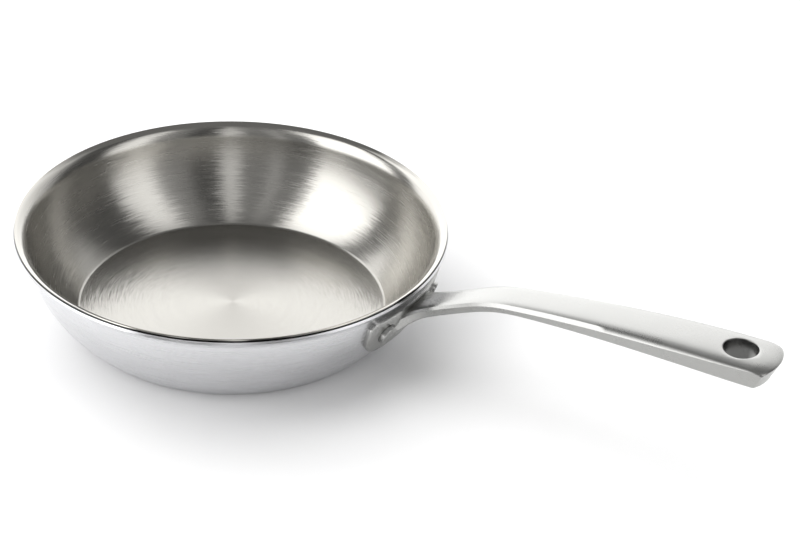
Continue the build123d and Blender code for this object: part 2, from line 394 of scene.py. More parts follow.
# The drill for the hanging hole goes through the whole blank, and a rim's edges stay this level
DRILL_LENGTH = 60 * MM
RIM_LEVEL = 0.5 * MM
HOLE_SIDES = 96

# Greatest size of the flange's faces before it is pressed, and where it waits, clear of the pan, in metres
FLANGE_CELL = 3 * MM
STAND_OFF = 0.2

# How far the plug that trims the handle's root goes on above the side
PLUG_CLIMB = 40 * MM

# The rivets: how far each head starts inside what it sits on, the bevels of the heads, and the sides
HEAD_ROOT = 0.5 * MM
OUTER_HEAD_BEVEL = 0.5 * MM
INNER_HEAD_BEVEL = 0.7 * MM
HEAD_SIDES = 64
SHANK_SIDES = 48


class TopLine:
    """The handle's top line in side view: a straight neck, the gooseneck bend and one long sweep."""

    def __init__(self, section, handle, flange):
        self.flange_top = section.flare_start - flange.below_flare
        self.rivet_height = self.flange_top - flange.rivet_drop
        self.handle = handle
        root_x = section.plane_at(self.rivet_height, 0, -flange.thickness)[0].x
        self.root = Vector((root_x, 0, self.flange_top - handle.root_drop))
        along = Vector((cos(handle.root_slope), 0, sin(handle.root_slope)))
        self.foot_run = handle.neck_run / cos(handle.root_slope)
        self.foot = self.root + self.foot_run * along
        self.back = self.root - BLANK_START * along
        centre_x = self.foot.x + handle.bend * sin(handle.root_slope)
        centre_z = self.foot.z - handle.bend * cos(handle.root_slope)
        turned_x = centre_x - handle.bend * sin(handle.bend_exit)
        self.bent = Vector((turned_x, 0, centre_z + handle.bend * cos(handle.bend_exit)))
        self.end = Vector((handle.reach + LINE_OVERRUN, 0, handle.end_height))
        chord = self.end - self.bent
        self.end_slope = 2 * atan2(chord.z, chord.x) - handle.bend_exit
        self.sweep = chord.length / (2 * sin((handle.bend_exit - self.end_slope) / 2))

    def run_at(self, x):
        """How far along the top line, from its start behind the wall, the point above x lies."""
        h = self.handle
        if x <= self.foot.x:
            return BLANK_START + (x - self.root.x) / cos(h.root_slope)
        run = BLANK_START + self.foot_run
        if x <= self.bent.x:
            angle = asin(sin(h.root_slope) - (x - self.foot.x) / h.bend)
            return run + h.bend * (h.root_slope - angle)
        run += h.bend * (h.root_slope - h.bend_exit)
        angle = asin(sin(h.bend_exit) - (x - self.bent.x) / self.sweep)
        return run + self.sweep * (h.bend_exit - angle)

    def draw(self):
        """The top line as a Bezier curve that bends the flat blank."""
        h = self.handle
        slopes = (h.root_slope, h.root_slope, h.bend_exit, self.end_slope)
        third = (self.foot - self.back).length / 3
        turn_1, turn_2 = h.root_slope - h.bend_exit, h.bend_exit - self.end_slope
        reach_1 = 4 / 3 * tan(turn_1 / 4) * h.bend
        reach_2 = 4 / 3 * tan(turn_2 / 4) * self.sweep
        start_clean()
        bpy.ops.curve.primitive_bezier_curve_add(radius=1)
        curve = bpy.context.object
        curve.name = "top_line"
        curve.data.dimensions = "3D"
        curve.data.twist_mode = "Z_UP"
        curve.data.resolution_u = 48
        points = curve.data.splines[0].bezier_points
        points.add(2)
        reaches = ((third, third), (third, reach_1), (reach_1, reach_2), (reach_2, reach_2))
        places = (self.back, self.foot, self.bent, self.end)
        for point, place, angle, (before, after) in zip(points, places, slopes, reaches):
            way = Vector((cos(angle), 0, sin(angle)))
            point.handle_left_type = point.handle_right_type = "FREE"
            point.co, point.handle_left, point.handle_right = place, place - before * way, place + after * way
        return curve


def eased(table, x):
    """A smooth value at x between the rows of a table of (x, value)."""
    for i in range(len(table) - 1):
        if x <= table[i + 1][0] or i == len(table) - 2:
            (x0, v0), (x1, v1) = table[i], table[i + 1]
            before = table[i - 1] if i else table[i]
            after = table[i + 2] if i + 2 < len(table) else table[i + 1]
            slope_0 = (v1 - before[1]) / (x1 - before[0])
            slope_1 = (after[1] - v0) / (after[0] - x0)
            t, span = (x - x0) / (x1 - x0), x1 - x0
            near = (1 + 2 * t) * (1 - t) ** 2 * v0 + t * (1 - t) ** 2 * span * slope_0
            return near + t * t * (3 - 2 * t) * v1 + t * t * (t - 1) * span * slope_1


def between(table, x):
    """The value at x on straight lines between a table's places."""
    for (x0, a), (x1, b) in zip(table, table[1:]):
        if x <= x1:
            return a + (b - a) * max(0, x - x0) / (x1 - x0)
    return table[-1][1]


def blank_stations(line, handle):
    """Run, half width, thickness and top bevel of the flat blank's stations, from inside the wall outwards."""
    stations = []
    for run, half, depth in NECK_STATIONS:
        stations.append((BLANK_START + run * MM, half * MM, depth * MM, BEVEL_SHARES[0][1] * handle.top_bevel))
    for x in BLADE_PLACES:
        half, depth, bevel = eased(BLADE_WIDTHS, x), eased(BLADE_DEPTHS, x), eased(BEVEL_SHARES, x)
        stations.append((line.run_at(x * MM), half * MM, depth * MM, bevel * handle.top_bevel))
    return stations


def row_section(half, bevel, handle):
    """Where the columns of one row of the blank's top stand: pairs of sideways distance and height."""
    flat = half - bevel
    places = []
    for share in COLUMN_SHARES:
        past_start = max(0, (share - ROLL_START) / (1 - ROLL_START))
        roll = handle.edge_roll * past_start ** 2 * flat / ROLL_HALF_WIDTH
        places.append((share * flat, -((share * flat) ** 2) / (2 * handle.crown) - roll))
    return places + [(half, places[-1][1] - bevel)]


def flat_blank(stations, handle):
    """The handle before bending: a bar along X, crowned and bevelled on top, drawn out row by row."""
    start_clean()
    (first, half, _, bevel), second = stations[0], stations[1][0]
    columns = len(COLUMN_SHARES) + 1
    bpy.ops.mesh.primitive_grid_add(x_subdivisions=1, y_subdivisions=2 * columns, size=2)
    obj = bpy.context.object
    edit(obj)
    resize(((second - first) / 2, half, 1), (0, 0, 0))
    bpy.ops.transform.translate(value=((first + second) / 2, 0, 0))
    even = [(half * (i + 1) / columns, 0) for i in range(columns)]
    place_columns(obj, None, even, row_section(half, bevel, handle))
    before = row_section(half, bevel, handle)
    for i, (run, half, _, bevel) in enumerate(stations[1:]):
        if i:
            pick(obj, "VERT", lambda v: v.co.x > stations[i][0] - CLOSE)
            extrude((run - stations[i][0], 0, 0))
        section = row_section(half, bevel, handle)
        place_columns(obj, run, before, section)
        before = section
    round_end(obj, stations, handle)
    bpy.ops.mesh.select_all(action="SELECT")
    extrude((0, 0, -BLANK_DEPTH))
    resize((1, 1, 0), (0, 0, -BLANK_DEPTH))
    lean_in(obj, stations, handle)
    bpy.ops.object.mode_set(mode="OBJECT")
    tidy_normals(obj)
    return obj


def place_columns(obj, run, old, new):
    """Moves the columns of one row, or of all rows where run is None, from old places to new ones."""
    for (y, z), (new_y, new_z) in reversed(list(zip(old, new))):
        pick(
            obj, "VERT",
            lambda v: (run is None or abs(v.co.x - run) < CLOSE)
            and abs(abs(v.co.y) - y) < CLOSE and abs(v.co.z - z) < CLOSE,
        )
        resize((1, new_y / y, 1), (0, 0, 0))
        bpy.ops.transform.translate(value=(0, 0, new_z - z))


def round_end(obj, stations, handle):
    """Bulges the end's last rows outwards, rolls them down and rounds the two corners."""
    last = stations[-1][0]
    for back, bulge, drop in END_ROWS:
        run, half, _, bevel = min(stations, key=lambda station: abs(station[0] - last + back * MM))
        for y, _ in [(0, 0)] + row_section(half, bevel, handle):
            pick(
                obj, "VERT",
                lambda v: abs(v.co.x - run) < CLOSE and abs(abs(v.co.y) - y) < CLOSE,
            )
            forward = bulge * handle.end_bulge * (1 - (y / half) ** 2)
            bpy.ops.transform.translate(value=(forward, 0, -drop * MM))
    pick(obj, "VERT", lambda v: last - CLOSE < v.co.x < last + 0.1 * MM and abs(v.co.y) > 0.999 * half)
    bpy.ops.mesh.bevel(offset=handle.end_corner, segments=4, affect="VERTICES")


def lean_in(obj, stations, handle):
    """Sets the underside's depth at each station and draws it in, so the sides and the end lean."""
    last = stations[-1][0]
    pick(
        obj, "EDGE",
        lambda e: all(v.co.z < UNDERSIDE for v in e.verts) and is_inner(e)
        and (is_lengthwise(e) or max(v.co.x for v in e.verts) > last - CROSS_REACH),
    )
    bpy.ops.mesh.dissolve_edges(use_verts=True)
    k = 1 - stations[-1][2] * tan(handle.end_draft) / (LEAN_REACH + handle.end_bulge)
    pick(obj, "VERT", lambda v: v.co.z < UNDERSIDE and v.co.x > last - LEAN_REACH)
    resize((k, 1, 1), (last - LEAN_REACH, 0, 0))
    for side in (-1, 1):
        pick(
            obj, "VERT",
            lambda v: v.co.z < UNDERSIDE and v.co.x > last - CORNER_REACH
            and side * v.co.y > stations[-1][1] - CORNER_REACH,
        )
        bpy.ops.mesh.merge(type="CENTER")
    bm = bmesh.from_edit_mesh(obj.data)
    halves = [(run, half) for run, half, _, _ in stations]
    depths = [(run, depth) for run, _, depth, _ in stations]
    for x in sorted({round(v.co.x / MM, 3) * MM for v in bm.verts if v.co.z < UNDERSIDE}):
        run = min(last, x if x < last - LEAN_REACH else last - LEAN_REACH + (x - last + LEAN_REACH) / k)
        side_depth = between(depths, run) - handle.under_round
        pick(obj, "VERT", lambda v: v.co.z < UNDERSIDE and abs(v.co.x - x) < SAME_ROW)
        resize((1, 1 - side_depth * tan(handle.side_draft) / between(halves, run), 1), (0, 0, 0))
        bpy.ops.transform.translate(value=(0, 0, BLANK_DEPTH - side_depth))


def is_lengthwise(edge):
    """Whether an edge runs more along the blank than across it."""
    run = edge.verts[1].co - edge.verts[0].co
    return abs(run.x) > abs(run.y)


def is_inner(edge):
    """Whether both faces at an edge of the underside are level."""
    return all(abs(face.normal.z) > LEVEL for face in edge.link_faces)


def rounded_rings(radius, steps):
    """Insets the selected faces ring by ring and raises them, which rounds their border."""
    inset, rise = 0, 0
    for i in range(1, steps + 1):
        angle = pi / 2 * i / steps
        new_inset, new_rise = radius * (1 - cos(angle)), radius * sin(angle)
        bpy.ops.mesh.inset(thickness=new_inset - inset, depth=new_rise - rise)
        inset, rise = new_inset, new_rise


def bevel_blank(obj, stations, handle):
    """Rounds the blank's lower edges, cuts the hanging hole and bevels its rims."""
    end = stations[-1][0]
    edit(obj)
    pick(obj, "FACE", lambda f: f.normal.z < -LEVEL)
    rounded_rings(handle.under_round, 4)
    bpy.ops.object.mode_set(mode="OBJECT")
    start_clean()
    centre = end + handle.end_bulge - handle.hole_to_end
    bpy.ops.mesh.primitive_cylinder_add(
        vertices=HOLE_SIDES, radius=handle.hole, depth=DRILL_LENGTH, location=(centre, 0, 0)
    )
    drill = bpy.context.object
    finish_modifier(obj, "BOOLEAN", object=drill, operation="DIFFERENCE", solver="EXACT")
    scrap(drill)

    def on_rim(e):
        return all(abs((v.co.xy - Vector((centre, 0))).length - handle.hole) < CLOSE for v in e.verts)

    def across(e):
        return abs(e.verts[0].co.z - e.verts[1].co.z) < RIM_LEVEL

    edit(obj)
    pick(obj, "EDGE", lambda e: on_rim(e) and across(e))
    bpy.ops.mesh.bevel(offset=handle.hole_bevel, segments=2, affect="EDGES")
    bpy.ops.object.mode_set(mode="OBJECT")


def flat_flange(flange):
    """The flange before it is pressed onto the wall: a shield in the YZ plane with rounded outer edges."""
    start_clean()
    bpy.ops.mesh.primitive_plane_add(size=1, rotation=(pi / 2, 0, pi / 2))
    obj = bpy.context.object
    bpy.ops.object.transform_apply(location=True, rotation=True, scale=True)
    edit(obj)
    resize((1, flange.width, flange.height), (0, 0, 0))
    pick(obj, "VERT", lambda v: v.co.z > 0)
    bpy.ops.mesh.bevel(offset=flange.top_corner, segments=6, affect="VERTICES")
    pick(obj, "VERT", lambda v: v.co.z < -flange.height / 2 + CLOSE)
    bpy.ops.mesh.bevel(offset=flange.bottom_corner, segments=14, affect="VERTICES")
    bpy.ops.mesh.select_all(action="SELECT")
    extrude((flange.thickness - flange.edge_round, 0, 0))
    rounded_rings(flange.edge_round, 3)
    for axis, size in ((1, flange.width), (2, flange.height)):
        count = round(size / FLANGE_CELL)
        for i in range(1, count):
            place, way = [0, 0, 0], [0, 0, 0]
            place[axis], way[axis] = size * (i / count - 0.5), 1
            bpy.ops.mesh.select_all(action="SELECT")
            bpy.ops.mesh.bisect(plane_co=place, plane_no=way)
    bpy.ops.object.mode_set(mode="OBJECT")
    return obj


def press_on_wall(obj, wall, flange, top):
    """Moves the flat flange to its height and wraps it on the wall, each level at its own depth."""
    edit(obj)
    bpy.ops.mesh.select_all(action="SELECT")
    bpy.ops.transform.translate(value=(0, 0, top - flange.height / 2))
    bpy.ops.object.mode_set(mode="OBJECT")
    levels = {}
    for v in obj.data.vertices:
        levels.setdefault(round(v.co.x / MM, 2), []).append(v.index)
    for level, members in levels.items():
        obj.vertex_groups.new(name=str(level)).add(members, 1.0, "REPLACE")
    edit(obj)
    bpy.ops.mesh.select_all(action="SELECT")
    bpy.ops.transform.translate(value=(STAND_OFF, 0, 0))
    bpy.ops.object.mode_set(mode="OBJECT")
    finish_modifier(
        obj, "SHRINKWRAP", target=wall, wrap_method="PROJECT", use_project_x=True,
        use_negative_direction=True, use_positive_direction=False,
    )
    for level in levels:
        if level > 0:
            finish_modifier(
                obj, "SHRINKWRAP", target=wall, wrap_method="NEAREST_SURFACEPOINT",
                wrap_mode="ABOVE_SURFACE", offset=level * MM, vertex_group=str(level),
            )
    obj.vertex_groups.clear()
    tidy_normals(obj)


def wall_plug(section, depth, segments):
    """A closed plug with the side's shape at a depth, which trims what runs into the wall."""
    points = section.below_flare(depth)
    (r0, z0), (r1, z1) = points[-2:]
    above = (r1 + PLUG_CLIMB * (r1 - r0) / (z1 - z0), z1 + PLUG_CLIMB)
    obj = turned("plug", points + [above], segments)
    edit(obj)
    pick(obj, "EDGE", lambda e: e.is_boundary)
    bpy.ops.mesh.edge_face_add()
    bpy.ops.object.mode_set(mode="OBJECT")
    tidy_normals(obj)
    return obj


def rivet(name, section, line, flange, side):
    """One rivet: a flat head on the flange, a low head inside the pan, and its shank."""
    place, outward = section.plane_at(line.rivet_height, side * flange.rivet_spacing, -flange.thickness)
    grip = flange.thickness + section.sheet
    heads = (
        (flange.outer_head, -HEAD_ROOT, flange.outer_height, OUTER_HEAD_BEVEL, 1),
        (flange.inner_head, -grip + HEAD_ROOT, -grip - flange.inner_height, INNER_HEAD_BEVEL, -1),
    )
    parts = []
    turn = outward.to_track_quat("Z", "Y").to_euler()
    for radius, root, face, bevel, up in heads:
        start_clean()
        middle = place + outward * (root + face) / 2
        bpy.ops.mesh.primitive_cylinder_add(
            vertices=HEAD_SIDES, radius=radius, depth=abs(face - root), location=middle, rotation=turn
        )
        head = bpy.context.object
        edit(head)
        top = up * abs(face - root) / 2
        pick(head, "EDGE", lambda e: all(abs(v.co.z - top) < CLOSE for v in e.verts))
        bpy.ops.mesh.bevel(offset=bevel, segments=3, affect="EDGES")
        bpy.ops.object.mode_set(mode="OBJECT")
        parts.append(head)
    start_clean()
    bpy.ops.mesh.primitive_cylinder_add(
        vertices=SHANK_SIDES, radius=flange.shank, depth=grip,
        location=place - outward * grip / 2, rotation=turn,
    )
    shank = bpy.context.object
    for part in parts:
        part.select_set(True)
    bpy.ops.object.join()
    shank.name = shank.data.name = name
    return shank


# Part 4: materials

# Heights between which a finish changes: to the polished lip inside and outside, and down to the floor, whose
# steel also gets painted shade
INNER_LIP = (55.5 * MM, 56.5 * MM)
OUTER_LIP = (48.5 * MM, 49.5 * MM)
FLOOR = (9 * MM, 4 * MM)

# Arc lengths of the ring lines hold on a ring of this radius, in mm
RING_RADIUS_MM = 100


def new_material(name):
    """An empty node material with its output, and the shader that feeds it."""
    material = bpy.data.materials.get(name) or bpy.data.materials.new(name)
    material.use_nodes = True
    material.node_tree.nodes.clear()
    tree = material.node_tree
    shader = add(tree, "ShaderNodeBsdfPrincipled")
    add(tree, "ShaderNodeOutputMaterial", {"Surface": shader.outputs["BSDF"]})
    return material, tree, shader


def add(tree, kind, inputs=None, **settings):
    """Adds one node, with its settings, and its inputs as values or as sockets to link from."""
    node = tree.nodes.new(kind)
    for name, value in settings.items():
        setattr(node, name, value)
    for name, value in (inputs or {}).items():
        if isinstance(value, bpy.types.NodeSocket):
            tree.links.new(value, node.inputs[name])
        else:
            node.inputs[name].default_value = value
    return node


def ring_lines(tree, spacing_mm, arc_mm):
    """Noise drawn out along rings round the pan's axis: spacing across the rings, arc length along them."""
    place = add(tree, "ShaderNodeTexCoord").outputs["Object"]
    level = add(tree, "ShaderNodeVectorMath", {0: place, 1: (1, 1, 0)}, operation="MULTIPLY").outputs[0]
    around = add(tree, "ShaderNodeVectorMath", {0: level}, operation="NORMALIZE").outputs[0]
    radius = add(tree, "ShaderNodeVectorMath", {0: level}, operation="LENGTH").outputs["Value"]
    height = add(tree, "ShaderNodeSeparateXYZ", {0: place}).outputs["Z"]
    along = add(tree, "ShaderNodeMath", {0: radius, 1: height}, operation="ADD").outputs[0]
    rings = add(tree, "ShaderNodeMath", {0: along, 1: 1 / (spacing_mm * MM)}, operation="MULTIPLY").outputs[0]
    arcs = RING_RADIUS_MM / arc_mm
    turn = add(tree, "ShaderNodeVectorMath", {0: around, "Scale": arcs}, operation="SCALE").outputs[0]
    across = add(tree, "ShaderNodeCombineXYZ", {"Z": rings}).outputs[0]
    spot = add(tree, "ShaderNodeVectorMath", {0: turn, 1: across}, operation="ADD").outputs[0]
    noise = add(tree, "ShaderNodeTexNoise", {"Vector": spot, "Scale": 1.0, "Detail": 3.0, "Roughness": 0.6})
    return noise.outputs["Fac"], around, height


def spread(tree, value, low, high):
    """The middle of a noise value stretched to a range."""
    inputs = {"Value": value, "From Min": 0.3, "From Max": 0.7, "To Min": low, "To Max": high}
    return add(tree, "ShaderNodeMapRange", inputs).outputs["Result"]


def tinted(tree, colour_value, factor):
    """A colour lightened or darkened by a factor socket."""
    inputs = {0: colour_value, "Scale": factor}
    return add(tree, "ShaderNodeVectorMath", inputs, operation="SCALE").outputs[0]


def ring_swayed_normal(tree, noise, around, amount):
    """The surface's normal swayed a little round the pan's axis, line by line, as brushing does."""
    side = add(tree, "ShaderNodeVectorMath", {0: (0, 0, 1), 1: around}, operation="CROSS_PRODUCT").outputs[0]
    sway = spread(tree, noise, -amount, amount)
    swayed = add(tree, "ShaderNodeVectorMath", {0: side, "Scale": sway}, operation="SCALE").outputs[0]
    face = add(tree, "ShaderNodeNewGeometry").outputs["Normal"]
    both = add(tree, "ShaderNodeVectorMath", {0: face, 1: swayed}, operation="ADD").outputs[0]
    return add(tree, "ShaderNodeVectorMath", {0: both}, operation="NORMALIZE").outputs[0]


def ring_brushed_steel(finishes):
    """Stainless steel sheet brushed in rings: reflections smear up the wall and break up line by line.

    The real lines are 0.05 to 0.2 mm apart, so they are drawn at 0.5 mm, the finest that shows."""
    material, tree, shader = new_material("ring_brushed_stainless_steel")
    noise, around, height = ring_lines(tree, spacing_mm=0.5, arc_mm=14)
    broad, _, _ = ring_lines(tree, spacing_mm=4, arc_mm=60)
    both = add(tree, "ShaderNodeMath", {0: noise, 1: broad}, operation="ADD").outputs[0]
    half = add(tree, "ShaderNodeMath", {0: both, 1: 0.5}, operation="MULTIPLY").outputs[0]
    lip = add(
        tree, "ShaderNodeMapRange", {"Value": height, "From Min": INNER_LIP[0], "From Max": INNER_LIP[1]}
    )
    floor = add(
        tree, "ShaderNodeMapRange", {"Value": height, "From Min": FLOOR[0], "From Max": FLOOR[1]}
    ).outputs[0]
    wall_rough, floor_rough = spread(tree, half, 0.2, 0.3), spread(tree, half, 0.2, 0.26)
    rough = add(tree, "ShaderNodeMix", {0: floor, 2: wall_rough, 3: floor_rough}).outputs[0]
    mixed = add(tree, "ShaderNodeMix", {0: lip.outputs[0], 2: rough, 3: 0.09}).outputs[0]
    tree.links.new(mixed, shader.inputs["Roughness"])
    drawn = add(tree, "ShaderNodeMapRange", {"Value": floor, "To Min": 0.75, "To Max": 0.7}).outputs[0]
    tree.links.new(drawn, shader.inputs["Anisotropic"])
    # The floor's steel is painted 15 % darker than the wall: painted shade that stands in for its darker
    # reflection
    floor_painted_shade = add(tree, "ShaderNodeMapRange", {"Value": floor, "To Min": 1.0, "To Max": 0.85}).outputs[0]
    lines = spread(tree, half, 0.93, 1.05)
    shade = add(tree, "ShaderNodeMath", {0: lines, 1: floor_painted_shade}, operation="MULTIPLY").outputs[0]
    tone = tinted(tree, finishes.cooking, shade)
    tree.links.new(tone, shader.inputs["Base Color"])
    tree.links.new(ring_swayed_normal(tree, noise, around, 0.03), shader.inputs["Normal"])
    shader.inputs["Metallic"].default_value = 1.0
    shader.inputs["Anisotropic Rotation"].default_value = 0.25
    tangent = add(tree, "ShaderNodeTangent", direction_type="RADIAL", axis="Z").outputs[0]
    tree.links.new(tangent, shader.inputs["Tangent"])
    return material


def satin_steel(finishes):
    """Stainless steel with a fine satin finish: soft, even reflections with the faintest rings."""
    material, tree, shader = new_material("satin_stainless_steel")
    noise, _, height = ring_lines(tree, spacing_mm=0.6, arc_mm=30)
    lip = add(
        tree, "ShaderNodeMapRange", {"Value": height, "From Min": OUTER_LIP[0], "From Max": OUTER_LIP[1]}
    )
    rough = spread(tree, noise, 0.3, 0.36)
    mixed = add(tree, "ShaderNodeMix", {0: lip.outputs[0], 2: rough, 3: 0.12}).outputs[0]
    tree.links.new(mixed, shader.inputs["Roughness"])
    tone = tinted(tree, finishes.outer, spread(tree, noise, 0.97, 1.02))
    tree.links.new(tone, shader.inputs["Base Color"])
    shader.inputs["Metallic"].default_value = 1.0
    shader.inputs["Anisotropic"].default_value = 0.4
    shader.inputs["Anisotropic Rotation"].default_value = 0.25
    tangent = add(tree, "ShaderNodeTangent", direction_type="RADIAL", axis="Z").outputs[0]
    tree.links.new(tangent, shader.inputs["Tangent"])
    return material


def hole_painted_shade_mask(tree, place):
    """One on the wall of the hanging hole, which is painted dark as painted shade in the hole, and zero
    elsewhere.
    """
    handle = bpy.context.scene.pan_handle
    centre = (handle.reach - handle.hole_to_end, 0, 0)
    level = add(tree, "ShaderNodeVectorMath", {0: place, 1: (1, 1, 0)}, operation="MULTIPLY").outputs[0]
    away = add(tree, "ShaderNodeVectorMath", {0: level, 1: centre}, operation="DISTANCE").outputs["Value"]
    edge = handle.hole + 0.1 * MM
    inputs = {"Value": away, "From Min": edge + 0.3 * MM, "From Max": edge}
    return add(tree, "ShaderNodeMapRange", inputs).outputs["Result"]


def seam_dirt_and_shade_mask(tree, place):
    """One on the narrow seam round each rivet's head, where polish and dirt stay and the head's shade falls,
    and zero elsewhere: partly dirt, partly painted shade.
    """
    scene = bpy.context.scene
    section, flange = Section(scene.pan_sizes), scene.pan_flange
    height = TopLine(section, scene.pan_handle, flange).rivet_height
    centre, _ = section.plane_at(height, flange.rivet_spacing, -flange.thickness)
    both = add(tree, "ShaderNodeVectorMath", {0: place}, operation="ABSOLUTE").outputs[0]
    away = add(tree, "ShaderNodeVectorMath", {0: both, 1: tuple(centre)}, operation="DISTANCE").outputs["Value"]
    inputs = {"Value": away, "From Min": flange.outer_head + 0.9 * MM, "From Max": flange.outer_head + 0.5 * MM}
    return add(tree, "ShaderNodeMapRange", inputs).outputs["Result"]


def ground_cast_steel(finishes, part, with_seam_dirt_and_shade):
    """Cast stainless steel, ground and satin blasted: a fine even grain with soft highlights."""
    material, tree, shader = new_material("ground_cast_stainless_steel_" + part)
    place = add(tree, "ShaderNodeTexCoord").outputs["Object"]
    grain = add(tree, "ShaderNodeTexNoise", {"Vector": place, "Scale": 1 / (0.5 * MM), "Detail": 3.0})
    cloud = add(tree, "ShaderNodeTexNoise", {"Vector": place, "Scale": 1 / (14 * MM), "Detail": 2.0})
    both = add(tree, "ShaderNodeMath", {0: grain.outputs[0], 1: cloud.outputs[0]}, operation="ADD").outputs[0]
    half = add(tree, "ShaderNodeMath", {0: both, 1: 0.5}, operation="MULTIPLY").outputs[0]
    tree.links.new(spread(tree, half, 0.24, 0.34), shader.inputs["Roughness"])
    # The hanging hole's wall is painted down to 30 % brightness: painted shade in the hole
    bore = hole_painted_shade_mask(tree, place)
    hole_painted_shade = add(tree, "ShaderNodeMapRange", {"Value": bore, "To Min": 1.0, "To Max": 0.3}).outputs[0]
    speckle = spread(tree, half, 0.96, 1.03)
    shade = add(tree, "ShaderNodeMath", {0: speckle, 1: hole_painted_shade}, operation="MULTIPLY").outputs[0]
    # A dark ring round each rivet's head on the flange: partly dirt, partly painted shade
    if with_seam_dirt_and_shade:
        seam_dirt_and_shade_factor = add(tree, "ShaderNodeMapRange", {"Value": seam_dirt_and_shade_mask(tree, place), "To Min": 1.0, "To Max": 0.25})
        shade = add(tree, "ShaderNodeMath", {0: shade, 1: seam_dirt_and_shade_factor.outputs[0]}, operation="MULTIPLY").outputs[0]
    tone = tinted(tree, finishes.cast, shade)
    tree.links.new(tone, shader.inputs["Base Color"])
    bump = add(tree, "ShaderNodeBump", {"Height": grain.outputs[0], "Strength": 0.08, "Distance": 0.1 * MM})
    tree.links.new(bump.outputs[0], shader.inputs["Normal"])
    shader.inputs["Metallic"].default_value = 1.0
    return material


def milled_aluminium(finishes):
    """The aluminium core where the lip was trimmed: a bright cut edge with fine turning lines."""
    material, tree, shader = new_material("milled_aluminium")
    noise, _, _ = ring_lines(tree, spacing_mm=0.3, arc_mm=40)
    tree.links.new(spread(tree, noise, 0.2, 0.35), shader.inputs["Roughness"])
    tree.links.new(tinted(tree, finishes.core, spread(tree, noise, 0.95, 1.03)), shader.inputs["Base Color"])
    shader.inputs["Metallic"].default_value = 1.0
    return material


def dress(obj, material):
    """Gives a new piece its material and its body."""
    obj.data.materials.clear()
    obj.data.materials.append(material)
    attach(obj, "root")


# Part 5: the operators, one for each piece or group of like pieces


class PAN_OT_body(bpy.types.Operator):
    """Build the three layers of the clad sheet"""

    bl_idname = "omelette_pan.body"
    bl_label = "Build the pan body"

    def execute(self, context):
        sizes, finishes = context.scene.pan_sizes, context.scene.pan_finishes
        section = Section(sizes)
        core_depth, cooking_depth = sizes.outer_steel, sizes.outer_steel + sizes.core
        outer = clad_layer("outer_shell", section, 0, sizes.outer_steel, sizes.segments)
        core = clad_layer("core_sheet", section, core_depth, sizes.core, sizes.segments)
        cooking = clad_layer("cooking_sheet", section, cooking_depth, sizes.cooking_steel, sizes.segments)
        # With the fault named in clad_layer, the first of these rounds a hidden edge and the second finds none
        round_edge(outer, *section.flare(0)[-1], sizes.edge_round)
        round_edge(cooking, *section.flare(section.sheet)[-1], sizes.edge_round)
        for obj in (outer, core, cooking):
            smooth(obj)
        dress(outer, satin_steel(finishes))
        dress(core, milled_aluminium(finishes))
        dress(cooking, ring_brushed_steel(finishes))
        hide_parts("outer_steel_layer")
        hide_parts("aluminium_core")
        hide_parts("cooking_surface_layer")
        return {"FINISHED"}


class PAN_OT_handle(bpy.types.Operator):
    """Build the cast handle with its flange"""

    bl_idname = "omelette_pan.handle"
    bl_label = "Build the handle"

    def execute(self, context):
        scene = context.scene
        handle, flange, sizes = scene.pan_handle, scene.pan_flange, scene.pan_sizes
        section = Section(sizes)
        line = TopLine(section, handle, flange)
        stations = blank_stations(line, handle)
        blade = flat_blank(stations, handle)
        bevel_blank(blade, stations, handle)
        curve = line.draw()
        finish_modifier(blade, "CURVE", object=curve, deform_axis="POS_X")
        scrap(curve)
        plug = wall_plug(section, -flange.thickness / 2, sizes.segments)
        finish_modifier(blade, "BOOLEAN", object=plug, operation="DIFFERENCE", solver="EXACT")
        scrap(plug)
        plate = flat_flange(flange)
        press_on_wall(plate, bpy.data.objects["outer_shell"], flange, line.flange_top)
        finish_modifier(blade, "BOOLEAN", object=plate, operation="UNION", solver="EXACT")
        scrap(plate)
        blade.name = blade.data.name = "cast_handle"
        smooth(blade)
        dress(blade, ground_cast_steel(scene.pan_finishes, "handle", with_seam_dirt_and_shade=True))
        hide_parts("handle")
        return {"FINISHED"}


class PAN_OT_rivets(bpy.types.Operator):
    """Build the two rivets"""

    bl_idname = "omelette_pan.rivets"
    bl_label = "Build the rivets"

    def execute(self, context):
        scene = context.scene
        section = Section(scene.pan_sizes)
        line = TopLine(section, scene.pan_handle, scene.pan_flange)
        material = ground_cast_steel(scene.pan_finishes, "rivet", with_seam_dirt_and_shade=False)
        for side, name in ((1, "rivet_left"), (-1, "rivet_right")):
            obj = rivet(name + "_dressed", section, line, scene.pan_flange, side)
            smooth(obj)
            dress(obj, material)
            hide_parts(name)
        return {"FINISHED"}


# The camera of the photograph: place in metres, angles in degrees, lens and sensor in mm
CAMERA_PLACE = (0.5362, -0.8570, 0.6497)
CAMERA_AZIMUTH = 26.42
CAMERA_ELEVATION = 31.52
CAMERA_ROLL = 2.97
CAMERA_LENS = 90
CAMERA_SENSOR = 36

TABLE_RADIUS = 1.6

# The light over the table, in metres and watts
KEY_PLACE = (-0.5, 0.25, 1.3)
KEY_SIZE = 1.9
KEY_POWER = 15

# The dim field overhead: its brightness, its lean away from the camera, and the range in which it takes over
OVERHEAD = (0.08, 0.08, 0.08, 1)
OVERHEAD_LEAN = 0.2
OVERHEAD_RANGE = (0.78, 0.9)

# The colour ramp holds the cards' levels divided by this, and the background multiplies them by it again
CARD_STRENGTH = 3.0

# The cards round the pan: azimuth in degrees from straight behind the camera, towards its right, and brightness
SURROUNDINGS = (
    (-180, 2.2), (-116, 2.1), (-107, 0.15), (-96, 0.12), (-90, 2.9), (-46, 2.9), (-41, 0.2), (-25, 0.25),
    (-20, 0.75), (-14, 0.25), (-9, 0.3), (-1, 0.25), (5, 1.2), (11, 1.1), (14, 0.08), (29, 0.08),
    (33, 0.3), (50, 0.42), (57, 1.8), (75, 1.5), (82, 0.08), (112, 0.1), (124, 0.7), (180, 2.2),
)


